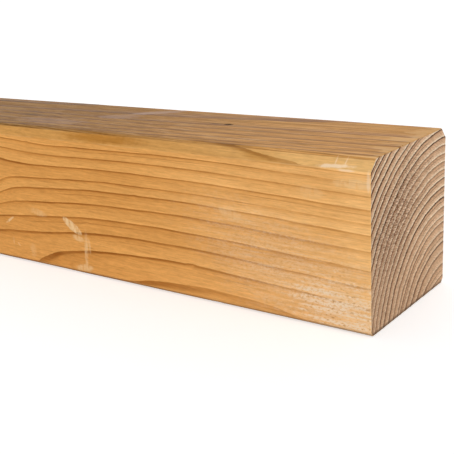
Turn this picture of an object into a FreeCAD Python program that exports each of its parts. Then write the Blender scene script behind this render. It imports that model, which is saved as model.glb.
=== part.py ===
import FreeCAD, Part
import os
import Sketcher

# Sawn softwood post, lying along X with its two ends cut square.
# +Z is up and -Y is the front. The origin is the middle of the face it lies on.

doc = FreeCAD.newDocument("WoodenPost")

# Driving dimensions: alias, millimetres, what it is
dimensions = [
    ("PostLength", 2400, "from one sawn end to the other"),
    ("PostWidth", 150, "front face to back face"),
    ("PostHeight", 150, "bottom face to top face"),
    ("TopArris", 10, "leg of the bevel on the two upper long edges"),
    ("BottomArris", 4, "leg of the bevel on the two lower long edges"),
]

sizes = doc.addObject("Spreadsheet::Sheet", "Sizes")
for row, (alias, value, note) in enumerate(dimensions, start=1):
    sizes.set(f"A{row}", alias)
    sizes.set(f"B{row}", str(value))
    sizes.set(f"C{row}", note)
    sizes.setAlias(f"B{row}", alias)
doc.recompute()


def origin_plane(body, role):
    """The body's own origin plane with this role, such as YZ_Plane."""
    for feature in body.Origin.OriginFeatures:
        if feature.Role == role:
            return feature
    raise ValueError(f"{body.Label} has no {role}")


def long_edges_at(feature, z):
    """Names of the straight edges that run along X at height z."""
    names = []
    for number, edge in enumerate(feature.Shape.Edges, start=1):
        first, last = edge.Vertexes[0].Point, edge.Vertexes[-1].Point
        along_x = abs(last.x - first.x) > 1e-6 and abs(last.y - first.y) < 1e-6
        at_height = abs(first.z - z) < 1e-6 and abs(last.z - z) < 1e-6
        if along_x and at_height:
            names.append(f"Edge{number}")
    return names


post = doc.addObject("PartDesign::Body", "Post")
post.Label = "post"

# Rectangular section in the YZ plane, its bottom on Z = 0 and centred on Y = 0
section = post.newObject("Sketcher::SketchObject", "Section")
section.AttachmentSupport = [(origin_plane(post, "YZ_Plane"), "")]
section.MapMode = "FlatFace"

half, top = sizes.PostWidth / 2, sizes.PostHeight
corners = [
    FreeCAD.Vector(-half, 0, 0),
    FreeCAD.Vector(half, 0, 0),
    FreeCAD.Vector(half, top, 0),
    FreeCAD.Vector(-half, top, 0),
]
bottom_line, back_line, top_line, front_line = section.addGeometry(
    [Part.LineSegment(a, b) for a, b in zip(corners, corners[1:] + corners[:1])], False
)

start, end = 1, 2  # the two ends of a sketch line
x_axis = -1
origin = (-1, start)

section.addConstraint([
    Sketcher.Constraint("Coincident", bottom_line, end, back_line, start),
    Sketcher.Constraint("Coincident", back_line, end, top_line, start),
    Sketcher.Constraint("Coincident", top_line, end, front_line, start),
    Sketcher.Constraint("Coincident", front_line, end, bottom_line, start),
    Sketcher.Constraint("Horizontal", top_line),
    Sketcher.Constraint("Vertical", back_line),
    Sketcher.Constraint("Vertical", front_line),
    Sketcher.Constraint("PointOnObject", bottom_line, start, x_axis),
    Sketcher.Constraint("Symmetric", bottom_line, start, bottom_line, end, *origin),
])
width = section.addConstraint(
    Sketcher.Constraint("DistanceX", bottom_line, start, bottom_line, end, 2 * half)
)
height = section.addConstraint(
    Sketcher.Constraint("DistanceY", back_line, start, back_line, end, top)
)
section.renameConstraint(width, "width")
section.renameConstraint(height, "height")
section.setExpression("Constraints.width", "Sizes.PostWidth")
section.setExpression("Constraints.height", "Sizes.PostHeight")

# Half the length each side of the section, both ends sawn square
stock = post.newObject("PartDesign::Pad", "Stock")
stock.Profile = section
stock.SideType = "Symmetric"
stock.setExpression("Length", "Sizes.PostLength")
doc.recompute()

# The long edges are bevelled, more on the upper two than on the lower two
top_arrises = post.newObject("PartDesign::Chamfer", "TopArrises")
top_arrises.Base = (stock, long_edges_at(stock, sizes.PostHeight))
top_arrises.ChamferType = "Equal distance"
top_arrises.setExpression("Size", "Sizes.TopArris")
doc.recompute()

bottom_arrises = post.newObject("PartDesign::Chamfer", "BottomArrises")
bottom_arrises.Base = (top_arrises, long_edges_at(top_arrises, 0))
bottom_arrises.ChamferType = "Equal distance"
bottom_arrises.setExpression("Size", "Sizes.BottomArris")
post.Tip = bottom_arrises
doc.recompute()

# Nothing is saved unless every feature and every shape is sound
sub_parts = [post]

for item in doc.Objects:
    if "Invalid" in item.State or "Error" in item.State:
        raise RuntimeError(f"{item.Label} failed: {item.State}")

for part in sub_parts:
    if part.Shape.isNull() or not part.Shape.isValid():
        raise RuntimeError(f"{part.Label} has no valid shape")

os.makedirs("parts", exist_ok=True)
for part in sub_parts:
    part.Shape.exportStep(f"parts/{part.Label}.step")
    box = part.Shape.BoundBox
    print(f"{part.Label}: {box.XLength:.1f} x {box.YLength:.1f} x {box.ZLength:.1f} mm")
    print(f"{part.Label}: {part.Shape.Volume / 1e9:.5f} m3, {len(part.Shape.Solids)} solid")
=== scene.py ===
import math
import bpy
import numpy as np
from mathutils import Matrix, Vector


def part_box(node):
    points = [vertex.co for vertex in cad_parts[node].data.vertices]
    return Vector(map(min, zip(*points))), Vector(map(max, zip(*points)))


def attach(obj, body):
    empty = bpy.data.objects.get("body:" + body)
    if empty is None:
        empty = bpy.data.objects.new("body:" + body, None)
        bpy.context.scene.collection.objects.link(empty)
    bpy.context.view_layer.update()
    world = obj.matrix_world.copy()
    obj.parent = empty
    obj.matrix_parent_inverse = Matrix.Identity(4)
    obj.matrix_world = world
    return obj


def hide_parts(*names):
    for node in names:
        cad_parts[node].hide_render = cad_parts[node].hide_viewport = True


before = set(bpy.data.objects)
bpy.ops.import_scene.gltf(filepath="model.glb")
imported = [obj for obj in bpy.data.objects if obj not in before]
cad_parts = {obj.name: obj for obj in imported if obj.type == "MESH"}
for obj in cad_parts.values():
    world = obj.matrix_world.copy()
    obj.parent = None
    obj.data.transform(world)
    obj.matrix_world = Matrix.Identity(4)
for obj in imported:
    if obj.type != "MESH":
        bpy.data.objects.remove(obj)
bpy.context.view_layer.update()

postLow, postHigh = (np.array(corner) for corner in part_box("post"))
print("frame loaded, post", (postHigh - postLow).round(3), "m")

mm = 0.001
nearEnd, farEnd = postHigh[0], postLow[0]  # the near end is the one with the scuffed corner
frontFace, backFace = postLow[1], postHigh[1]
underFace, topFace = postLow[2], postHigh[2]


# How the tree grew. Places are taken from the near end's lower front corner.
treeGrowth = {
    "heart": (152 * mm, -59 * mm),  # depth behind the front, height above the underside
    "oval": (0.088, -0.045, 0.010, -0.014),  # shares of cos 2a, sin 2a, cos 4a, sin 4a
    "firstRing": 55 * mm,
    # ring widths in mm from the heart outwards, wide and narrow years
    "ringWidths": [6, 11, 11, 9, 9.5, 9, 4.5, 8.5, 8.5, 9, 7.5, 7.5, 7, 7, 7.5,
                   7, 7.5, 8, 5.5, 7.5, 7, 6.5, 5, 8.5, 7],
    # how boldly each year's dark line shows on the sawn end, from the heart outwards
    "boldness": [0.75, 0.6, 0.7, 1.0, 0.6, 0.6, 0.65, 0.4, 1.0, 0.75, 0.8, 0.35, 0.45, 0.35, 0.5,
                 1.0, 0.85, 0.75, 0.9, 1.0, 0.85, 1.0, 0.9, 1.0, 1.0],
    "flatSide": (24, 9, 3.2 * mm),  # rings sit further out about this turn, degrees and spread
    # the heart wanders: distance from the near end in m, then mm back and mm up
    "heartPath": [(-0.3, 6, -4), (0, 0, 0), (0.19, -2, 3), (0.30, 1, 6), (0.39, 6.5, 8.5),
                  (0.46, 10, 11), (0.62, 13, 13), (0.95, 5, 14), (1.35, -5, 9),
                  (1.75, 0, 2), (2.1, 7, -3), (2.4, 3, 0), (2.7, -4, 3)],
    "waver": 0.22 * mm,  # unevenness of each ring
    # where the saw tore the end: out from the heart, degrees up from level, their spreads
    "tornBand": {"radius": 170 * mm, "wide": 19 * mm, "turn": 56, "turnSpread": 13},
    "seed": 31,
}

# Branches that grew out of the heart: distance from the near end in m, the way they
# point in degrees up from level towards the front, radius at the bark side in mm and
# how far in mm they push the rings aside.
branchLean = 0.12  # towards the near end, for each part outwards
branchLength = 0.2  # m out from the heart at which a branch has its radius
branches = [
    {"along": 0.493, "turn": 42.5, "radius": 10.5, "push": 13},
    {"along": 0.905, "turn": 71, "radius": 8.0, "push": 7},
    {"along": 0.945, "turn": 27, "radius": 9.5, "push": 8},
    {"along": 1.390, "turn": 55, "radius": 12.5, "push": 10},
    {"along": 1.435, "turn": 83, "radius": 7.0, "push": 6},
    {"along": 1.860, "turn": 37, "radius": 9.0, "push": 8},
    {"along": 1.885, "turn": 66, "radius": 11.0, "push": 9},
    {"along": 2.290, "turn": 22, "radius": 8.0, "push": 7},
]


def ease(value, low, high):
    # 0 below low, 1 above high, 3t^2 - 2t^3 between
    t = np.clip((value - low) / (high - low), 0, 1)
    return t * t * (3 - 2 * t)


def throughPoints(places, values, at):
    # a smooth line through the points: between two of them a cubic with the slope
    # at each point taken from its two neighbours
    places, values = np.asarray(places, float), np.asarray(values, float)
    slopes = np.gradient(values, places)
    step = np.clip(np.searchsorted(places, at) - 1, 0, len(places) - 2)
    span = places[step + 1] - places[step]
    t = np.clip((at - places[step]) / span, 0, 1)
    return ((2 * t**3 - 3 * t**2 + 1) * values[step] + (t**3 - 2 * t**2 + t) * span * slopes[step]
            + (3 * t**2 - 2 * t**3) * values[step + 1] + (t**3 - t**2) * span * slopes[step + 1])


def waves(at, size, seed, count=14):
    # smooth unevenness: the sum of sine waves of random direction and phase, about as
    # long as size along each axis, spread about zero with a scatter near one
    random = np.random.default_rng(seed)
    turns = random.normal(size=(count, 3)) * 2 * np.pi / np.asarray(size, float)
    phases = random.uniform(0, 2 * np.pi, count)
    return np.sin(at @ turns.T + phases).sum(-1) * math.sqrt(2 / count)


def heartAt(along):
    # where the heart is at a distance from the near end: its place at the end plus a
    # smooth line through the path's points
    places, back, up = zip(*treeGrowth["heartPath"])
    heartY = frontFace + treeGrowth["heart"][0] + mm * throughPoints(places, back, along)
    heartZ = underFace + treeGrowth["heart"][1] + mm * throughPoints(places, up, along)
    return heartY, heartZ


def branchAxis(branch):
    # a point of the branch's middle line, its direction away from the heart and its
    # direction round the tree
    heartY, heartZ = heartAt(branch["along"])
    turn = math.radians(branch["turn"])
    start = np.array([nearEnd - branch["along"], heartY, heartZ])
    outwards = np.array([branchLean, -math.cos(turn), math.sin(turn)])
    outwards /= np.linalg.norm(outwards)
    sideways = np.array([0, math.sin(turn), math.cos(turn)])
    return start, outwards, sideways


def besideBranch(at, branch):
    # how far points lie from a branch's middle line, along the post and round the tree,
    # and the branch's radius there, which grows in proportion to the way out
    start, outwards, sideways = branchAxis(branch)
    reach = (at - start) @ outwards
    lengthways = at[..., 0] - start[0] - reach * outwards[0]
    across = (at - start) @ sideways
    size = mm * branch["radius"] * np.clip(reach / branchLength, 0.2, 1.2)
    return lengthways, across, size


def growthAt(at):
    # rings are counted by the distance from the wandering heart, stretched a little by
    # direction; round a branch they part to both sides and bulge outwards along it
    heartY, heartZ = heartAt(nearEnd - at[..., 0])
    back, up = at[..., 1] - heartY, at[..., 2] - heartZ
    turn = np.arctan2(up, -back)
    c2, s2, c4, s4 = treeGrowth["oval"]
    oval = (1 + c2 * np.cos(2 * turn) + s2 * np.sin(2 * turn)
            + c4 * np.cos(4 * turn) + s4 * np.sin(4 * turn))
    radius = np.hypot(back, up) * oval
    flatTurn, flatSpread, flatDrop = treeGrowth["flatSide"]
    radius = radius - flatDrop * np.exp(-((np.degrees(turn) - flatTurn) / flatSpread)**2)
    around = turn * radius
    seed = treeGrowth["seed"]
    radius = radius + treeGrowth["waver"] * waves(at, (0.55, 0.07, 0.07), seed)
    radius = radius + 0.4 * treeGrowth["waver"] * waves(at, (0.16, 0.03, 0.03), seed + 1)
    for branch in branches:
        lengthways, across, size = besideBranch(at, branch)
        # gentle and wide on the bark side, tight on the heart side
        above = ease(across / size, -0.5, 2)
        longSpread, crossSpread = (2.0 + 2.5 * above) * size, (1.5 + 1.3 * above) * size
        near = np.exp(-0.5 * (lengthways / longSpread)**2 - 0.5 * (across / crossSpread)**2)
        push = mm * branch["push"] * (1 - 0.4 * above)
        radius = radius - push * near * (across / crossSpread + 0.05)
    edges = treeGrowth["firstRing"] + mm * np.cumsum([0] + treeGrowth["ringWidths"])
    before = (np.minimum(radius, edges[0]) - edges[0]) / (mm * treeGrowth["ringWidths"][0])
    after = (np.maximum(radius, edges[-1]) - edges[-1]) / (mm * treeGrowth["ringWidths"][-1])
    rings = np.interp(radius, edges, np.arange(len(edges))) + before + after
    return rings, around, radius, turn


def knotsAt(at):
    # place across the nearest branch, in branch radii lengthways and sideways, and 1
    # within a few radii of it, 0 beyond
    faraway, nearby, widest = 9.0, 3.5, 30
    best = np.full(at.shape[:-1] + (3,), faraway)
    for branch in branches:
        lengthways, across, size = besideBranch(at, branch)
        local = np.stack([lengthways / size, across / size, np.zeros_like(size)], -1)
        closer = np.hypot(local[..., 0], local[..., 1]) < np.hypot(best[..., 0], best[..., 1])
        best = np.where(closer[..., None], local, best)
    best[..., 2] = np.hypot(best[..., 0], best[..., 1]) < nearby
    return np.clip(best, -widest, widest)


# The sawn and planed shape, metres
postShape = {
    "topBevel": 10 * mm,
    "lowerBevel": 4 * mm,
    "softening": 2.4 * mm,  # radius that takes the edges off the bevels
    "sideSteps": 80,  # faces across each side
    "closeRows": 0.62,  # this far from the near end the rows stand close
    "rowStep": (6.2 * mm, 17 * mm),  # between rows, close and further along
    "rowBlend": 30 * mm,  # over which close rows turn into wide ones
    # extra rows: how many a metre, how far before the place, over what spread
    "branchRows": (110, 25 * mm, 22 * mm),
    "pitRows": (330, 0, 4 * mm),
    "edgeCrowding": (3.0, 1.6 * mm),  # extra faces beside an edge, and how near
    "sawnEdge": [(0, 0.7), (0.2, 0.3), (0.6, 0.06), (1.2, 0), (2.6, 0)],  # mm in, mm down
    "sawnMargin": 3.4 * mm,  # kept clear for the sawn edge
    "raisedGrain": 0.16 * mm,
    "planing": 0.22 * mm,
    "dentDepth": 0.7 * mm,
    "dentsFrom": 2.15,  # only the highest waves become dents
    "fur": 0.10 * mm,
    "pit": {"along": 196 * mm, "back": 12 * mm, "size": (3.0 * mm, 2.0 * mm), "depth": 2.2 * mm},
    "seed": 7,
}

# Flat layout of the faces: the sides as one strip, the two sawn ends as squares over it
flatLayout = {
    "margin": 0.004,
    "stripHeight": 0.630,
    "squareSide": 0.350,
    "nearSquare": (0.006, 0.643),
    "farSquare": (0.366, 0.643),
}


def sectionOutline():
    # the rectangle with its four corners bevelled, then every edge rounded by moving
    # it in by the softening radius and out again along the turning normal; read off
    # in four sides that meet at the middles of the bevels, closer at the edges
    radius = postShape["softening"]
    top, low = postShape["topBevel"], postShape["lowerBevel"]
    corners = np.array([
        (frontFace, underFace + low), (frontFace + low, underFace),
        (backFace - low, underFace), (backFace, underFace + low),
        (backFace, topFace - top), (backFace - top, topFace),
        (frontFace + top, topFace), (frontFace, topFace - top),
    ])
    line, ways = [], []
    for i, corner in enumerate(corners):
        come = corner - corners[i - 1]
        leave = corners[(i + 1) % 8] - corner
        comeTurn, leaveTurn = (math.atan2(way[1], way[0]) for way in (come, leave))
        bend = (leaveTurn - comeTurn) % (2 * math.pi)
        inwards = comeTurn + bend / 2 + math.pi / 2
        inset = radius / math.cos(bend / 2)
        middle = corner + inset * np.array([math.cos(inwards), math.sin(inwards)])
        for share in np.linspace(0, 1, 7):
            way = comeTurn + share * bend - math.pi / 2
            line.append(middle + radius * np.array([math.cos(way), math.sin(way)]))
            ways.append(way)
    line.append(line[0])
    ways.append(ways[0] + 2 * math.pi)
    line, ways = np.array(line), np.unwrap(np.array(ways))
    length = np.concatenate([[0], np.cumsum(np.linalg.norm(np.diff(line, axis=0), axis=1))])
    # bevel middles: halfway from a bevel's first edge to its second
    edgeAt = length[np.arange(8) * 7 + 3]
    middles = [(edgeAt[0] + edgeAt[1]) / 2, (edgeAt[2] + edgeAt[3]) / 2,
               (edgeAt[4] + edgeAt[5]) / 2, (edgeAt[6] + edgeAt[7]) / 2]
    fine = np.linspace(0, length[-1], 6001)
    crowd, crowdReach = postShape["edgeCrowding"]
    nearness = np.exp(-np.abs(fine[:, None] - edgeAt[None, :]) / crowdReach).max(1)
    crowding = np.concatenate([[0], np.cumsum(1 + crowd * nearness[1:])])
    sides = []
    for first, last in zip(middles, middles[1:] + [middles[0] + length[-1]]):
        ends = [np.interp(place % length[-1], fine, crowding) + (place // length[-1]) * crowding[-1]
                for place in (first, last)]
        wanted = np.linspace(*ends, postShape["sideSteps"] + 1)
        place = np.interp(wanted % crowding[-1], crowding, fine)
        turn = np.interp(place, length, ways)
        sides.append((np.stack([np.interp(place, length, part) for part in line.T], 1),
                      np.stack([np.cos(turn), np.sin(turn)], 1),
                      np.interp(place, fine, nearness), place / length[-1]))
    return sides


def lengthRows():
    # places along the post: the rounded saw edges at both ends, close rows over the
    # near part, wide rows further along and closer ones beside each branch
    reach, margin = nearEnd - farEnd, postShape["sawnMargin"]
    fine = np.linspace(margin, reach - margin, 8001)
    close, wide = postShape["rowStep"]
    blend = 1 / (1 + np.exp((fine - postShape["closeRows"]) / postShape["rowBlend"]))
    density = blend / close + (1 - blend) / wide
    places = [(branch["along"], *postShape["branchRows"]) for branch in branches]
    places.append((postShape["pit"]["along"], *postShape["pitRows"]))
    for place, extra, before, spread in places:
        density += extra * np.exp(-0.5 * ((fine - place + before) / spread)**2)
    total = np.concatenate([[0], np.cumsum((density[1:] + density[:-1]) / 2 * np.diff(fine))])
    rows = np.interp(np.linspace(0, total[-1], int(round(total[-1])) + 1), total, fine)
    edge = np.array(postShape["sawnEdge"]) * mm
    along = np.concatenate([edge[:, 0], rows, reach - edge[::-1, 0]])
    drop = np.concatenate([edge[:, 1], np.zeros(len(rows)), edge[::-1, 1]])
    return along, drop


def lateness(rings):
    # 0 in a ring's early wood, rising to 1 in the dense late wood at its outer edge
    phase = rings % 1
    return np.clip((phase - 0.35) / 0.5, 0, 1)**2 * np.clip((1 - phase) / 0.06, 0, 1)


def reliefAt(at, normals, ends):
    # how far the surface lies below the true section: early wood worn lower than late
    # wood, long waves from the planer, small dents, and furred wood on the sawn ends
    rings = growthAt(at)[0]
    seed = postShape["seed"]
    depth = postShape["raisedGrain"] * (1 - lateness(rings))
    long = waves(at, (0.35, 0.06, 0.06), seed)
    depth = depth + postShape["planing"] * (0.5 + 0.25 * np.clip(long, -2, 2))
    dents = waves(at, (0.05, 0.02, 0.02), seed + 1, 22)
    depth = depth + postShape["dentDepth"] * np.clip(dents - postShape["dentsFrom"], 0, 1) * (1 - ends)
    pit = postShape["pit"]
    pitAway = np.hypot((nearEnd - at[:, 0] - pit["along"]) / pit["size"][0],
                       (at[:, 1] - pit["back"]) / pit["size"][1])
    depth = depth + pit["depth"] * np.exp(-pitAway**2) * (normals[:, 2] > 0.9)
    fur = waves(at, (0.01, 0.006, 0.006), seed + 2, 26)
    depth = depth + postShape["fur"] * np.clip(1 + fur, 0, 2.5) * ends
    return depth


def postSurface():
    # the outline carried along the length, closed by a patch at each end that blends
    # the four sides of the outline; every point then sinks by its relief
    sides = sectionOutline()
    steps = postShape["sideSteps"]
    around = 4 * steps
    ring = np.concatenate([side[0][:-1] for side in sides])
    ringNormal = np.concatenate([side[1][:-1] for side in sides])
    ringEdge = np.concatenate([side[2][:-1] for side in sides])
    along, drop = lengthRows()
    rows, reach = len(along), nearEnd - farEnd
    section = ring[None] - ringNormal[None] * drop[:, None, None]
    body = np.concatenate([np.broadcast_to((nearEnd - along)[:, None, None], (rows, around, 1)),
                           section], 2)
    bodyNormal = np.concatenate([np.zeros((rows, around, 1)),
                                 np.broadcast_to(ringNormal, (rows, around, 2))], 2)
    # normals lean outwards over the rounded saw edges
    saw = 1.2 * mm
    tilt = np.interp(along, [0, saw], [0.7, 0]) - np.interp(reach - along, [0, saw], [0.7, 0])
    bodyNormal = bodyNormal + tilt[:, None, None] * np.array([1.0, 0, 0])
    bodyNormal /= np.linalg.norm(bodyNormal, axis=2, keepdims=True)

    # end patch: opposite sides mixed both ways, less the mix of the corners
    first = section[0]
    under, back, upper, front = (np.roll(first, -i * steps, 0)[:steps + 1] for i in range(4))
    upper, front = upper[::-1], front[::-1]
    u = np.linspace(0, 1, steps + 1)[:, None, None]
    v = np.linspace(0, 1, steps + 1)[None, :, None]
    patch = ((1 - v) * under[:, None] + v * upper[:, None] + (1 - u) * front[None] + u * back[None]
             - (1 - u) * (1 - v) * under[0] - u * (1 - v) * under[-1]
             - (1 - u) * v * upper[0] - u * v * upper[-1])
    inner = patch[1:-1, 1:-1].reshape(-1, 2)

    sawBand = np.exp(-np.minimum(along, reach - along) / saw)
    points, normals = [body.reshape(-1, 3)], [bodyNormal.reshape(-1, 3)]
    ends, edges = [np.zeros(rows * around)], [np.maximum(ringEdge[None], sawBand[:, None]).ravel()]
    row, column = np.meshgrid(np.arange(rows - 1), np.arange(around), indexing="ij")
    corners = ((row, column), (row + 1, column), (row + 1, column + 1), (row, column + 1))
    quads = [np.stack([r * around + c % around for r, c in corners], -1).reshape(-1, 4)]
    slots = [np.zeros(len(quads[0]), int)]
    # flat layout: shares of the length and of the way round
    margin = flatLayout["margin"]
    turnShare = np.append(np.concatenate([side[3][:-1] for side in sides]), sides[-1][3][-1])
    turnShare = np.unwrap(turnShare, period=1) - turnShare[0]
    turnShare = turnShare * flatLayout["stripHeight"] + margin
    lengthShare = margin + (1 - 2 * margin) * along / reach
    layout = [np.stack([np.stack([lengthShare[r], turnShare[c]], -1) for r, c in corners], 2)
              .reshape(-1, 4, 2)]
    flat = (patch - [frontFace, underFace]) / [backFace - frontFace, topFace - underFace]
    flat = flat * flatLayout["squareSide"]
    rim = [np.arange(steps + 1), steps + np.arange(steps + 1), 2 * steps + np.arange(steps + 1),
           (3 * steps + np.arange(steps + 1)) % around]
    for place, outwards, start, square in ((nearEnd, 1, 0, "nearSquare"),
                                           (farEnd, -1, (rows - 1) * around, "farSquare")):
        offset = sum(len(p) for p in points)
        points.append(np.column_stack([np.full(len(inner), place), inner]))
        normals.append(np.tile([outwards, 0.0, 0.0], (len(inner), 1)))
        ends.append(np.ones(len(inner)))
        edges.append(np.zeros(len(inner)))
        index = np.empty((steps + 1, steps + 1), int)
        index[1:-1, 1:-1] = offset + np.arange(len(inner)).reshape(steps - 1, steps - 1)
        index[:, 0], index[-1, :] = start + rim[0], start + rim[1]
        index[:, -1], index[0, :] = start + rim[2][::-1], start + rim[3][::-1]
        spread = flat + flatLayout[square]
        cells, spread = (np.stack([grid[:-1, :-1], grid[1:, :-1], grid[1:, 1:], grid[:-1, 1:]], 2)
                         for grid in (index, spread))
        cells, spread = cells.reshape(-1, 4), spread.reshape(-1, 4, 2)
        quads.append(cells[:, ::outwards])
        layout.append(spread[:, ::outwards])
        slots.append(np.ones(len(cells), int))
    points, normals = np.concatenate(points), np.concatenate(normals)
    ends, edges = np.concatenate(ends), np.concatenate(edges)
    depth = reliefAt(points, normals, ends)
    parts = {"slots": np.concatenate(slots), "layout": np.concatenate(layout), "edges": edges,
             "normals": normals}
    return points - normals * depth[:, None], np.concatenate(quads), parts


def meshFrom(name, points, quads, slots, layout):
    # one smooth mesh of four-cornered faces, with its finishes and its flat layout
    mesh = bpy.data.meshes.new(name)
    mesh.vertices.add(len(points))
    mesh.vertices.foreach_set("co", points.astype(np.float32).ravel())
    mesh.loops.add(quads.size)
    mesh.loops.foreach_set("vertex_index", quads.astype(np.int32).ravel())
    mesh.polygons.add(len(quads))
    mesh.polygons.foreach_set("loop_start", np.arange(0, quads.size, 4, dtype=np.int32))
    mesh.polygons.foreach_set("material_index", slots.astype(np.int32))
    mesh.polygons.foreach_set("use_smooth", np.ones(len(quads), bool))
    mesh.update(calc_edges=True)
    mesh.uv_layers.new(name="OFBake").data.foreach_set("uv", layout.astype(np.float32).ravel())
    mesh.validate()
    return mesh


def storeOnPoints(mesh, name, values):
    # three numbers for each point, which the finishes read by name
    stored = mesh.attributes.new(name, "FLOAT_VECTOR", "POINT")
    stored.data.foreach_set("vector", np.stack(values, 1).astype(np.float32).ravel())


points, quads, parts = postSurface()
postMesh = meshFrom("sawnPost", points, quads, parts["slots"], parts["layout"])
rings, around, radius, turn = growthAt(points)
storeOnPoints(postMesh, "growth", [rings, around, radius])
storeOnPoints(postMesh, "knot", knotsAt(points).T)
# where the surface is: on the top, on an upper bevel, on a worn edge
normalY, normalZ = parts["normals"][:, 1], parts["normals"][:, 2]
onTop = ease(normalZ, 0.80, 0.96)
onBevel = ease(np.minimum(np.abs(normalY), normalZ), 0.25, 0.55)
storeOnPoints(postMesh, "faces", [onTop, onBevel, parts["edges"]])
torn = treeGrowth["tornBand"]
tornWood = np.exp(-0.5 * ((radius - torn["radius"]) / torn["wide"])**2
                  - 0.5 * ((np.degrees(turn) - torn["turn"]) / torn["turnSpread"])**2)
storeOnPoints(postMesh, "sawn", [tornWood, np.degrees(turn) / 90, 0 * turn])
post = bpy.data.objects.new("sawnPost", postMesh)
bpy.context.scene.collection.objects.link(post)
print("post surface made,", len(points), "points,", 2 * len(quads), "triangles")


def nodeAdder(tree):
    # adds a node of a kind, sets its options, then links or sets each named input
    def add(kind, inputs=None, **options):
        node = tree.nodes.new(kind)
        for name, value in options.items():
            setattr(node, name, value)
        for key, value in (inputs or {}).items():
            if isinstance(value, bpy.types.NodeSocket):
                tree.links.new(value, node.inputs[key])
            else:
                node.inputs[key].default_value = value
        return node
    return add


class WoodNodes:
    # the handful of node recipes that both wood finishes share
    def __init__(self, name):
        self.material = bpy.data.materials.new(name)
        self.material.use_nodes = True
        self.tree = self.material.node_tree
        self.tree.nodes.clear()
        self.add = nodeAdder(self.tree)
        self.place = self.add("ShaderNodeTexCoord").outputs["Object"]

    def attribute(self, name):
        # three numbers stored on the surface's points
        return self.add("ShaderNodeAttribute", attribute_name=name)

    def split(self, vector):
        # a vector's three parts
        return self.add("ShaderNodeSeparateXYZ", {0: vector}).outputs

    def join(self, x, y, z):
        # three values as one vector or colour
        return self.add("ShaderNodeCombineXYZ", {0: x, 1: y, 2: z}).outputs[0]

    def sum(self, operation, *values):
        # one step of arithmetic
        node = self.add("ShaderNodeMath", dict(enumerate(values)), operation=operation)
        return node.outputs[0]

    def times(self, first, second):
        # first times second
        return self.sum("MULTIPLY", first, second)

    def ramp(self, value, low, high, toLow=0.0, toHigh=1.0, smooth=True):
        # low..high becomes toLow..toHigh, held outside
        kind = "SMOOTHSTEP" if smooth else "LINEAR"
        return self.add("ShaderNodeMapRange", {0: value, 1: low, 2: high, 3: toLow, 4: toHigh},
                        interpolation_type=kind).outputs[0]

    def noise(self, vector, scale=(1, 1, 1), detail=2.0, rough=0.5, offset=(0, 0, 0)):
        # soft unevenness, 0 to 1, at the vector times the scale plus the offset
        scaled = self.add("ShaderNodeVectorMath", {0: vector, 1: scale, 2: offset},
                          operation="MULTIPLY_ADD").outputs[0]
        node = self.add("ShaderNodeTexNoise", {"Vector": scaled, "Scale": 1.0, "Detail": detail,
                                               "Roughness": rough})
        return node.outputs[0]

    def mix(self, share, first, second, blend="MIX"):
        # first times 1 - share plus second times share
        node = self.add("ShaderNodeMix", data_type="RGBA", blend_type=blend)
        for key, value in ((0, share), (6, first), (7, second)):
            if isinstance(value, bpy.types.NodeSocket):
                self.tree.links.new(value, node.inputs[key])
            else:
                node.inputs[key].default_value = value
        return node.outputs[2]

    def tint(self, share, colour, factors):
        # the colour times the factors, as far as the share says
        return self.mix(share, colour, self.mix(1.0, colour, (*factors, 1), "MULTIPLY"))

    def perYear(self, year, values):
        # a list read off year by year, one value to a ring
        count = len(values)
        place = self.sum("MULTIPLY_ADD", year, 1 / count, 0.5 / count)
        node = self.add("ShaderNodeValToRGB", {"Fac": place})
        steps = node.color_ramp
        steps.interpolation = "CONSTANT"
        steps.elements.remove(steps.elements[1])
        for i, value in enumerate(values):
            step = steps.elements.new(i / count) if i else steps.elements[0]
            step.color = (value, value, value, 1)
        return node.outputs[0]

    def marks(self, marks, wobble):
        # each mark is a tilted ellipse on a face; its rim is broken up by the wobble;
        # marks that meet keep the stronger one
        total = None
        for mark in marks:
            long, wide = mark["size"]
            centre = (nearEnd - mm * mark["along"], frontFace + mm * mark.get("deep", 0),
                      underFace + mm * mark.get("up", 150))
            half = tuple(mm * size / 2 for size in (long, mark.get("depth", 8), wide))
            turned = (0, -math.radians(mark.get("lean", 0)), math.radians(mark.get("slew", 0)))
            local = self.add("ShaderNodeMapping", {"Vector": self.place, "Location": centre,
                                                   "Scale": half, "Rotation": turned},
                             vector_type="TEXTURE").outputs[0]
            away = self.add("ShaderNodeVectorMath", {0: local}, operation="LENGTH").outputs["Value"]
            away = self.sum("MULTIPLY_ADD", wobble, mark.get("ragged", 0.6), away)
            soft = mark.get("soft", 0.35)
            spot = self.ramp(away, 1 - soft, 1 + soft, mark["strength"], 0.0)
            total = spot if total is None else self.sum("MAXIMUM", total, spot)
        return total


def paint(red, green, blue):
    # a colour as a paint chart gives it, 0 to 255, turned into linear light
    values = np.array([red, green, blue]) / 255
    linear = np.where(values <= 0.04045, values / 12.92, ((values + 0.055) / 1.055)**2.4)
    return (*linear.tolist(), 1.0)


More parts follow.
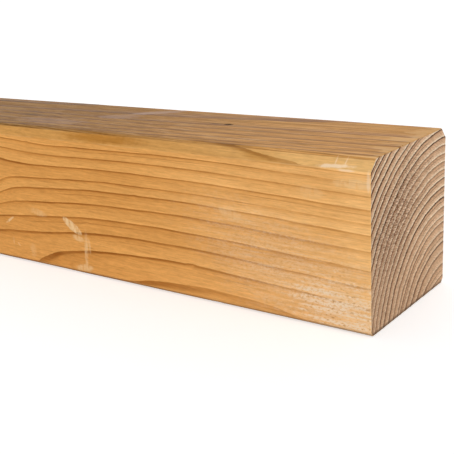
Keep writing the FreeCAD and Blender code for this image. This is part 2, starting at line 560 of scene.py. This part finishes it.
planedLook = {
    # colours as on a paint chart
    "early": (225, 163, 90),
    "late": (204, 138, 66),
    "line": (147, 86, 28),
    "topTan": (210, 154, 89),
    "topBrown": (168, 114, 60),
    "topLine": (112, 68, 28),
    "topSheen": (232, 186, 132),
    "fleck": (138, 88, 42),
    "worn": (232, 190, 132),
    "tear": (226, 180, 124),
    # painted shade for the bottom arris
    "underEdgeDark": (92, 66, 38),
    "sand": (238, 212, 180),
    "grit": (150, 105, 68),
    "scratch": (240, 206, 156),
    "scuff": (250, 224, 192),
    "lilac": (188, 158, 144),
    "nick": (74, 50, 28),
    "knot": (190, 124, 66),
    "knotLate": (158, 96, 48),
    "knotRim": (104, 62, 32),
    "knotCrack": (70, 42, 24),
    # tints: the wood's linear red, green and blue are multiplied by these
    "freshTint": (1.10, 1.12, 1.15),  # just after a ring's dark line
    "paleSheenTint": (1.21, 1.42, 1.95),  # paler towards the near end: partly paler wood, partly painted sheen
    "topTint": (0.575, 0.585, 0.58),  # further from the near end the top is browner
    "edgeShadeTint": (0.82, 0.78, 0.68),  # painted shade along the top's front edge
    "bevelTint": (0.81, 0.85, 0.84),
    "patchTint": (0.78, 0.68, 0.46),  # orange patches
    "haloTint": (0.84, 0.72, 0.55),  # resin round a knot
    "edgeShadeTo": (14 * mm, 26 * mm),  # from the front: full, then none
    "wobbleOfLines": 0.07,  # in rings
    "paleReach": 0.30,  # m from the near end over which the wood fades paler
    "roughness": (0.56, 0.74),
    "shine": 0.05,
    "bump": 0.35,
}

# Marks on the front: mm from the near end, mm up, long and wide in mm, lean in degrees
frontMarks = {
    "pale": [
        {"along": 338.5, "up": 51, "size": (28, 9), "lean": -31, "strength": 0.8, "soft": 0.15,
         "ragged": 0.5},
        {"along": 331, "up": 39, "size": (15, 6), "lean": -10, "strength": 0.5},
        {"along": 321, "up": 27, "size": (5, 38), "lean": -4, "strength": 0.5, "ragged": 1.0},
        {"along": 316, "up": 32, "size": (3, 16), "lean": 3, "strength": 0.35, "ragged": 0.8},
        {"along": 326, "up": 7, "size": (22, 8), "lean": 8, "strength": 0.5, "ragged": 1.2},
        {"along": 434, "up": 45.5, "size": (14, 2.5), "lean": 32, "strength": 0.7},
        {"along": 389, "up": 59.5, "size": (24, 7), "lean": -8, "strength": 0.3, "ragged": 1.2},
        {"along": 133, "up": 88.5, "size": (34, 9), "lean": -14, "strength": 0.22, "ragged": 1.0},
        {"along": 14, "up": 129, "size": (34, 8), "strength": 0.4, "ragged": 1.0},
        {"along": 432, "up": 22, "size": (2, 8), "strength": 0.3},
        {"along": 424, "up": 19, "size": (5, 2), "lean": -40, "strength": 0.4},
        {"along": 402, "up": 16, "size": (9, 14), "strength": 0.2, "ragged": 1.4},
        {"along": 55, "up": 118, "size": (26, 10), "lean": -6, "strength": 0.18, "ragged": 1.4},
    ],
    "scuff": [
        {"along": 31, "up": 142, "size": (30, 3), "lean": 3, "strength": 0.7, "ragged": 1.3,
         "depth": 12},
        {"along": 22, "up": 139.5, "size": (14, 2), "strength": 0.5, "ragged": 1.2},
        {"along": 33, "up": 146, "size": (1.5, 9), "strength": 0.4, "depth": 20, "ragged": 1.0},
        {"along": 24, "up": 146, "size": (1.5, 9), "lean": -6, "strength": 0.4, "depth": 20,
         "ragged": 1.0},
        {"along": 2, "up": 132, "size": (3, 16), "strength": 0.35, "ragged": 1.0},
    ],
    "orange": [
        {"along": 292, "up": 145, "size": (96, 8), "strength": 1.0, "soft": 0.5, "ragged": 0.9,
         "depth": 30},
        {"along": 106, "up": 143, "size": (44, 6), "strength": 0.6, "soft": 0.5, "lean": -8,
         "depth": 20},
    ],
    "sandy": [
        {"along": 20, "up": 12, "size": (120, 64), "strength": 1.0, "soft": 0.55, "ragged": 1.3,
         "lean": -20},
        {"along": 60, "up": 38, "size": (190, 74), "strength": 0.45, "soft": 0.7, "ragged": 1.3,
         "lean": -20},
    ],
}


# Marks on the top: deep is measured back from the front, slew turns a mark in degrees
topMarks = {
    "lilac": [
        {"along": 312, "deep": 118, "size": (60, 8), "depth": 16, "slew": 38, "strength": 0.55,
         "ragged": 1.0},
        {"along": 338, "deep": 84, "size": (46, 8), "depth": 22, "slew": 20, "strength": 0.35,
         "ragged": 1.4},
        {"along": 395, "deep": 40, "size": (90, 8), "depth": 30, "strength": 0.22, "ragged": 1.6},
    ],
    "dark": [
        {"along": 197, "deep": 87, "up": 149, "size": (10, 9), "depth": 7, "strength": 1.0,
         "soft": 0.3, "ragged": 0.4},
        {"along": 209, "deep": 86, "size": (22, 5), "depth": 4, "strength": 0.7, "soft": 0.5,
         "ragged": 0.3},
        {"along": 448, "deep": 62, "size": (34, 5), "depth": 9, "strength": 0.5, "soft": 0.7,
         "ragged": 1.2},
    ],
}


def planedWood():
    # rings: early wood darkens towards each ring's outer edge, where a dark line ends
    # it abruptly; fibres, flecks, blotches and the marks of handling lie over that
    wood = WoodNodes("planedWood")
    look = planedLook
    along, back, up = wood.split(wood.place)
    rings, around, radius = wood.split(wood.attribute("growth").outputs["Vector"])
    onTop, onBevel, edge = wood.split(wood.attribute("faces").outputs["Vector"])
    grainPlace = wood.join(along, around, radius)
    fromEnd = wood.sum("SUBTRACT", nearEnd, along)

    wobble = wood.noise(grainPlace, (14, 160, 160), 3)
    waver = look["wobbleOfLines"]
    wobble = wood.sum("MULTIPLY_ADD", wobble, waver, -waver / 2)
    count = wood.sum("ADD", rings, wobble)
    phase = wood.sum("FRACT", count)
    year = wood.sum("FLOOR", count)
    yearLuck = wood.add("ShaderNodeTexWhiteNoise", {"W": year}, noise_dimensions="1D").outputs
    strong = wood.ramp(yearLuck["Value"], 0, 1, 0.75, 1.0, smooth=False)

    band = wood.sum("POWER", wood.ramp(phase, 0.30, 1.0), 1.8)
    # a ring runs nearly along the bevel, so only its sharp outer edge shows there
    sharp = wood.ramp(phase, 0.91, 0.97)
    band = wood.mix(onBevel, band, wood.times(sharp, 0.7))
    line = wood.times(wood.mix(onBevel, wood.ramp(phase, 0.85, 0.94), sharp), strong)
    broken = wood.ramp(wood.noise(grainPlace, (9, 90, 500), 2, offset=(3, 1, 7)), 0.3, 0.6, 0.6, 1.0)
    line = wood.times(line, broken)
    faint = wood.ramp(wood.noise(grainPlace, (5, 45, 45), 2, offset=(8, 2, 4)), 0.30, 0.55, 0.5, 1.0)
    calmer = wood.ramp(fromEnd, 0.0, 0.34, 0.45, 1.0)  # lines fade towards the near end
    line = wood.times(line, wood.times(faint, calmer))
    # a few thin false rings between the true ones
    fromFalse = wood.sum("ABSOLUTE", wood.sum("SUBTRACT", phase, 0.62))
    someYears = wood.ramp(wood.noise(grainPlace, (4, 60, 60), 2, offset=(1, 9, 5)), 0.5, 0.66, 0, 0.45)
    falseLine = wood.times(wood.ramp(fromFalse, 0.06, 0.0), someYears)
    line = wood.sum("MAXIMUM", line, falseLine)

    early = wood.mix(wood.ramp(yearLuck["Value"], 0, 1, 0, 0.35), paint(*look["early"]),
                     paint(*look["late"]))
    body = wood.mix(wood.times(band, wood.ramp(fromEnd, 0.0, 0.25, 0.6, 0.85)), early,
                    paint(*look["late"]))
    body = wood.tint(wood.ramp(phase, 0.0, 0.22, 0.6, 0.0), body, look["freshTint"])
    body = wood.mix(line, body, paint(*look["line"]))

    # paler towards the sawn near end: partly paler wood, partly painted sheen
    pale = wood.sum("MAXIMUM", wood.ramp(fromEnd, 0.0, look["paleReach"], 0.8, 0.0),
                    wood.ramp(fromEnd, 0.0, 0.09, 1.15, 0.0))
    cloud = wood.noise(wood.place, (7, 30, 30), 3, 0.55, offset=(5, 0, 2))
    pale = wood.times(pale, wood.ramp(cloud, 0.25, 0.7, 0.6, 1.0))
    body = wood.tint(pale, body, look["paleSheenTint"])

    # top: weathered to a duller brown, its lines still showing
    topTone = wood.mix(wood.times(band, 0.8), paint(*look["topTan"]), paint(*look["topBrown"]))
    topFibre = wood.noise(grainPlace, (2.2, 760, 520), 3, 0.7, offset=(3, 3, 8))
    topTone = wood.mix(wood.ramp(topFibre, 0.50, 0.62, 0, 0.5), topTone, paint(*look["topLine"]))
    topTone = wood.mix(wood.ramp(topFibre, 0.47, 0.36, 0, 0.65), topTone, paint(*look["topSheen"]))
    topTone = wood.mix(wood.times(line, 0.75), topTone, paint(*look["topLine"]))
    topTone = wood.tint(wood.ramp(fromEnd, 0.03, 0.45), topTone, look["topTint"])
    # painted shade: the top darkens along its front edge and a little way down its bevel
    deep = wood.sum("SUBTRACT", back, frontFace)
    fullEdgeShade, noEdgeShade = look["edgeShadeTo"]
    browned = wood.sum("MAXIMUM", onTop, wood.ramp(up, topFace - 2.8 * mm, topFace - 1.8 * mm))
    edgeShade = wood.times(wood.ramp(deep, noEdgeShade, fullEdgeShade, 0, 0.8), wood.ramp(fromEnd, 0.05, 0.15))
    topTone = wood.tint(edgeShade, topTone, look["edgeShadeTint"])
    body = wood.mix(browned, body, topTone)
    body = wood.tint(wood.times(wood.sum("SUBTRACT", onBevel, browned), 0.8), body, look["bevelTint"])

    # fibres and blotches
    fibre = wood.noise(grainPlace, (30, 620, 620), 3, 0.65)
    broad = wood.noise(grainPlace, (4, 260, 260), 4, 0.65, offset=(1, 4, 9))
    fibreTone = wood.ramp(fibre, 0.25, 0.75, 0.865, 1.12, smooth=False)
    broadTone = wood.ramp(broad, 0.25, 0.75, 0.90, 1.09, smooth=False)
    cloudTone = wood.ramp(cloud, 0.2, 0.8, 0.93, 1.06, smooth=False)
    tone = wood.times(wood.times(fibreTone, broadTone), cloudTone)
    tone = wood.join(tone, wood.sum("POWER", tone, 1.2), wood.sum("POWER", tone, 1.5))
    body = wood.mix(1.0, body, tone, "MULTIPLY")
    speckle = wood.noise(grainPlace, (110, 420, 420), 2, 0.7, offset=(9, 5, 2))
    speckTone = wood.ramp(speckle, 0.3, 0.7, 0.92, 1.075, smooth=False)
    body = wood.mix(1.0, body, wood.join(speckTone, speckTone, speckTone), "MULTIPLY")
    flecks = wood.noise(grainPlace, (60, 1500, 1500), 1, 0.5, offset=(2, 2, 2))
    flecks = wood.ramp(flecks, 0.66, 0.76, 0, 0.35)
    body = wood.mix(flecks, body, paint(*look["fleck"]))

    # knots: the branch's own rings inside a dark rim
    knotAlong, knotAcross, knotNear = wood.split(wood.attribute("knot").outputs["Vector"])
    knotWobble = wood.noise(wood.place, (130, 130, 130), 3)
    squares = wood.sum("ADD", wood.times(knotAlong, knotAlong), wood.times(knotAcross, knotAcross))
    knotAway = wood.sum("POWER", squares, 0.5)
    knotAway = wood.sum("MULTIPLY_ADD", knotWobble, 0.5, wood.sum("SUBTRACT", knotAway, 0.25))
    knotAway = wood.sum("ADD", knotAway, wood.ramp(knotNear, 1.0, 0.9, 0.0, 9.0, smooth=False))
    inKnot = wood.ramp(knotAway, 1.06, 0.94)
    knotRings = wood.ramp(wood.sum("FRACT", wood.times(knotAway, 6.5)), 0.1, 1.0)
    knotTone = wood.mix(knotRings, paint(*look["knot"]), paint(*look["knotLate"]))
    knotRim = wood.times(wood.ramp(knotAway, 0.86, 0.98), wood.ramp(knotWobble, 0.42, 0.60, 0.35, 1.0))
    knotTone = wood.mix(knotRim, knotTone, paint(*look["knotRim"]))
    crack = wood.sum("MULTIPLY_ADD", knotWobble, 0.5, knotAlong)
    crack = wood.ramp(wood.sum("ABSOLUTE", wood.sum("SUBTRACT", crack, 0.25)), 0.07, 0.02)
    crack = wood.times(crack, wood.ramp(knotAway, 0.75, 0.55))
    knotTone = wood.mix(crack, knotTone, paint(*look["knotCrack"]))
    knotTone = wood.tint(wood.times(onTop, 0.9), knotTone, look["topTint"])
    body = wood.mix(inKnot, body, knotTone)
    halo = wood.times(wood.ramp(knotAway, 1.9, 1.0, 0.0, 0.4), wood.sum("SUBTRACT", 1.0, inKnot))
    body = wood.tint(halo, body, look["haloTint"])

    # handling marks
    ragged = wood.sum("SUBTRACT", wood.noise(wood.place, (170, 170, 240), 3, 0.65), 0.5)
    paleMark = wood.marks(frontMarks["pale"], ragged)
    orangeMark = wood.marks(frontMarks["orange"], ragged)
    sandy = wood.marks(frontMarks["sandy"], ragged)
    grit = wood.noise(wood.place, (300, 520, 560), 3, 0.7)
    streak = wood.noise(grainPlace, (14, 330, 330), 2, 0.6, offset=(2, 7, 3))
    streak = wood.ramp(streak, 0.35, 0.62, 0.25, 1.0)
    sandyMark = wood.times(wood.times(sandy, streak), wood.ramp(grit, 0.40, 0.58, 0.35, 1.0))
    body = wood.tint(orangeMark, body, look["patchTint"])
    body = wood.mix(sandyMark, body, paint(*look["sand"]))
    darkGrit = wood.times(sandy, wood.ramp(grit, 0.42, 0.32, 0, 0.5))
    body = wood.mix(darkGrit, body, paint(*look["grit"]))
    hatch = wood.noise(wood.place, (500, 300, 90), 2, 0.6, offset=(4, 4, 0))
    paleMark = wood.times(paleMark, wood.ramp(hatch, 0.36, 0.56, 0.35, 1.0))
    body = wood.mix(paleMark, body, paint(*look["scratch"]))
    body = wood.mix(wood.marks(frontMarks["scuff"], ragged), body, paint(*look["scuff"]))
    body = wood.mix(wood.marks(topMarks["lilac"], ragged), body, paint(*look["lilac"]))
    body = wood.mix(wood.marks(topMarks["dark"], ragged), body, paint(*look["nick"]))
    # fibres torn out on the top beside the saw cut, pale and sharp-edged
    tear = wood.noise(grainPlace, (26, 210, 210), 3, 0.6, offset=(6, 6, 1))
    tearReach = wood.sum("MULTIPLY_ADD", tear, 0.09, -0.036)
    tearMark = wood.ramp(wood.sum("SUBTRACT", tearReach, fromEnd), -0.004, 0.003, 0, 0.6)
    body = wood.mix(wood.times(tearMark, onTop), body, paint(*look["tear"]))
    rubbed = wood.ramp(wood.noise(wood.place, (40, 300, 300), 3), 0.4, 0.65, 0, 0.4)
    body = wood.mix(wood.times(wood.ramp(edge, 0.5, 1.0), rubbed), body, paint(*look["worn"]))

    # painted shade along the bottom arris: darker within a few mm of the underside
    underEdgeShade = wood.ramp(up, 0.0045, 0.0015, 0, 0.45)
    body = wood.mix(underEdgeShade, body, paint(*look["underEdgeDark"]))

    roughness = wood.ramp(wood.sum("ADD", band, wood.times(fibre, 0.5)), 0.1, 1.3,
                          look["roughness"][1], look["roughness"][0])
    roughness = wood.sum("MAXIMUM", roughness, wood.times(sandyMark, 0.85))
    height = wood.sum("ADD", wood.times(fibre, 0.5), wood.times(band, 0.5))
    height = wood.sum("MULTIPLY_ADD", grit, wood.times(sandy, 0.5), height)
    bump = wood.add("ShaderNodeBump", {"Strength": look["bump"], "Distance": 0.0003, "Height": height})
    shader = wood.add("ShaderNodeBsdfPrincipled", {
        "Base Color": body, "Roughness": roughness, "Specular IOR Level": look["shine"],
        "Normal": bump.outputs[0]})
    wood.add("ShaderNodeOutputMaterial", {"Surface": shader.outputs[0]})
    return wood.material


sawnLook = {
    "spring": (255, 230, 198),
    "early": (231, 189, 151),
    "late": (170, 116, 78),
    "line": (74, 36, 15),
    "torn": (112, 64, 38),
    "lifted": (244, 212, 182),
    "underEdgeDark": (84, 66, 54),
    "dullTint": (0.82, 0.82, 0.82),  # towards the lower front, where the end is darker
    "roughness": (0.72, 0.92),
    "shine": 0.04,
    "bump": 0.7,
}


def sawnEndWood():
    # the same rings cut across: pale early wood, thin dark late wood, short dashes
    # running out from the heart and a rough band where the saw tore the fibres
    wood = WoodNodes("sawnEndWood")
    look = sawnLook
    along, back, up = wood.split(wood.place)
    rings, around, radius = wood.split(wood.attribute("growth").outputs["Vector"])
    torn, turned = wood.split(wood.attribute("sawn").outputs["Vector"])[:2]
    spread = wood.join(along, around, radius)

    wobble = wood.noise(spread, (1, 260, 90), 3)
    count = wood.sum("ADD", rings, wood.sum("MULTIPLY_ADD", wobble, 0.14, -0.07))
    phase = wood.sum("FRACT", count)
    year = wood.sum("FLOOR", count)
    yearLuck = wood.add("ShaderNodeTexWhiteNoise", {"W": year}, noise_dimensions="1D").outputs
    band = wood.sum("POWER", wood.ramp(phase, 0.35, 1.0), 1.2)
    # lines are bold towards the front and thin and clean towards the back
    narrow = wood.ramp(turned, 0.45, 0.95)
    lineStart = wood.ramp(narrow, 0, 1, 0.66, 0.79, smooth=False)
    line = wood.ramp(phase, lineStart, 0.91)
    high = wood.ramp(up, 0.01, 0.10)
    bold = wood.perYear(year, treeGrowth["boldness"])
    line = wood.times(line, wood.times(bold, wood.ramp(high, 0, 1, 0.68, 1.0, smooth=False)))
    band = wood.times(band, wood.ramp(narrow, 0, 1, 1.0, 0.5))
    band = wood.times(band, wood.ramp(high, 0, 1, 0.6, 1.0, smooth=False))
    spring = wood.times(wood.ramp(phase, 0.35, 0.0), wood.ramp(high, 0, 1, 0.45, 1.0, smooth=False))
    body = wood.mix(spring, paint(*look["early"]), paint(*look["spring"]))
    body = wood.mix(band, body, paint(*look["late"]))
    body = wood.mix(line, body, paint(*look["line"]))
    # false rings: thin lines inside the wider years
    falseAt = wood.ramp(yearLuck["Value"], 0, 1, 0.40, 0.62, smooth=False)
    fromFalse = wood.sum("ABSOLUTE", wood.sum("SUBTRACT", phase, falseAt))
    someYears = wood.ramp(wood.noise(spread, (1, 18, 60), 2, offset=(0, 7, 1)), 0.45, 0.6)
    falseLine = wood.times(wood.ramp(fromFalse, 0.09, 0.02, 0.0, 0.55), someYears)
    body = wood.mix(falseLine, body, paint(*look["line"]))

    dashes = wood.noise(spread, (1, 780, 300), 3, 0.75)
    dashTone = wood.ramp(dashes, 0.3, 0.7, 0.66, 1.24, smooth=False)
    dashTone = wood.mix(torn, dashTone, wood.ramp(dashes, 0.32, 0.68, 0.60, 1.28, smooth=False))
    tornDark = wood.noise(spread, (1, 900, 420), 2, 0.6, offset=(0, 3, 5))
    tornDark = wood.times(wood.ramp(tornDark, 0.48, 0.58), torn)
    cloud = wood.noise(wood.place, (20, 22, 22), 3, 0.55)
    cloudTone = wood.ramp(cloud, 0.25, 0.75, 0.94, 1.05, smooth=False)
    tone = wood.times(dashTone, cloudTone)
    body = wood.mix(1.0, body, wood.join(tone, tone, tone), "MULTIPLY")
    body = wood.mix(wood.times(tornDark, 0.75), body, paint(*look["torn"]))
    lifted = wood.times(wood.ramp(dashes, 0.52, 0.62), torn)
    body = wood.mix(wood.times(lifted, 0.6), body, paint(*look["lifted"]))
    # darker towards the end's bottom edge
    body = wood.mix(wood.ramp(up, 0.004, 0.0012, 0, 0.7), body, paint(*look["underEdgeDark"]))
    lowFront = wood.ramp(wood.sum("ADD", up, back), -0.07, 0.20, 1.0, 0.0)
    body = wood.tint(lowFront, body, look["dullTint"])

    roughness = wood.ramp(dashes, 0.3, 0.7, look["roughness"][1], look["roughness"][0])
    height = wood.sum("ADD", wood.times(dashes, 0.7), wood.times(band, 0.4))
    height = wood.sum("SUBTRACT", height, wood.times(tornDark, 0.6))
    bump = wood.add("ShaderNodeBump", {"Strength": look["bump"], "Distance": 0.0005, "Height": height})
    shader = wood.add("ShaderNodeBsdfPrincipled", {
        "Base Color": body, "Roughness": roughness, "Specular IOR Level": look["shine"],
        "Normal": bump.outputs[0]})
    wood.add("ShaderNodeOutputMaterial", {"Surface": shader.outputs[0]})
    return wood.material


postMesh.materials.append(planedWood())
postMesh.materials.append(sawnEndWood())
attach(post, "root")
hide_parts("post")
print("wood finishes made")


studio = {
    "world": 0.58,
    "keyFrom": (0.534, -0.79, 0.296), "keyStrength": 1.6,
    "fillFrom": (-0.55, 0.80, 0.25), "fillStrength": 0.8,
    "softness": 60,  # degrees
    "floor": (0.80, 0.80, 0.80), "floorGlow": 0.45,
}


def studioLight(name, towards, strength):
    # an even light from far away in one direction, spread wide so shadows are soft
    lamp = bpy.data.lights.new(name, "SUN")
    lamp.energy = strength
    lamp.angle = math.radians(studio["softness"])
    light = bpy.data.objects.new(name, lamp)
    light.rotation_euler = Vector(towards).to_track_quat("Z", "Y").to_euler()
    bpy.context.scene.collection.objects.link(light)


def seenStraight(add):
    # 1 for what is looked at straight, in gloss or through glass, 0 for light on the way
    ray = add("ShaderNodeLightPath").outputs
    seen = ray["Is Camera Ray"]
    for kind in ("Is Glossy Ray", "Is Transmission Ray"):
        seen = add("ShaderNodeMath", {0: seen, 1: ray[kind]}, operation="MAXIMUM").outputs[0]
    return seen


def whiteRoom():
    # the world lights evenly; looked at straight, in gloss or through glass it is white
    world = bpy.data.worlds.new("whiteRoom")
    world.use_nodes = True
    world.node_tree.nodes.clear()
    add = nodeAdder(world.node_tree)
    seen = seenStraight(add)
    level = add("ShaderNodeMapRange", {0: seen, 3: studio["world"], 4: 1.0}).outputs[0]
    background = add("ShaderNodeBackground", {"Color": (1, 1, 1, 1), "Strength": level})
    add("ShaderNodeOutputWorld", {"Surface": background.outputs[0]})
    bpy.context.scene.world = world


def paleFloor():
    # a wide square; its own paint takes the shadow, a little glow lifts it to white
    side = 30
    mesh = bpy.data.meshes.new("studioFloor")
    corners = [(-side, -side, 0), (side, -side, 0), (side, side, 0), (-side, side, 0)]
    mesh.from_pydata(corners, [], [(0, 1, 2, 3)])
    floor = bpy.data.objects.new("studioFloor", mesh)
    bpy.context.scene.collection.objects.link(floor)
    paintwork = bpy.data.materials.new("palePaint")
    paintwork.use_nodes = True
    paintwork.node_tree.nodes.clear()
    add = nodeAdder(paintwork.node_tree)
    seen = seenStraight(add)
    glow = add("ShaderNodeMath", {0: seen, 1: studio["floorGlow"]}, operation="MULTIPLY").outputs[0]
    matt = add("ShaderNodeBsdfDiffuse", {"Color": (*studio["floor"], 1)})
    lit = add("ShaderNodeEmission", {"Color": (1, 1, 1, 1), "Strength": glow})
    both = add("ShaderNodeAddShader", {0: matt.outputs[0], 1: lit.outputs[0]})
    add("ShaderNodeOutputMaterial", {"Surface": both.outputs[0]})
    mesh.materials.append(paintwork)


whiteRoom()
paleFloor()
studioLight("keyLight", studio["keyFrom"], studio["keyStrength"])
studioLight("backFill", studio["fillFrom"], studio["fillStrength"])

# Where the camera stands in m, which way its right and its up point, its lens in mm
viewpoint = {
    "place": (1.50163, -0.67166, 0.30266),
    "right": (0.81135, 0.58228, -0.05163),
    "up": (-0.12966, 0.26539, 0.95538),
    "lens": 69.42,
}
camera = bpy.data.objects.new("camera", bpy.data.cameras.new("camera"))
right, upward = Vector(viewpoint["right"]), Vector(viewpoint["up"])
turned = Matrix((right, upward, right.cross(upward))).transposed()
camera.matrix_world = Matrix.Translation(viewpoint["place"]) @ turned.to_4x4()
camera.data.lens = viewpoint["lens"]
camera.data.sensor_width = 36
camera.data.clip_start, camera.data.clip_end = 0.01, 200
bpy.context.scene.collection.objects.link(camera)
bpy.context.scene.camera = camera
bpy.context.scene.view_settings.view_transform = "Standard"
print("studio set")
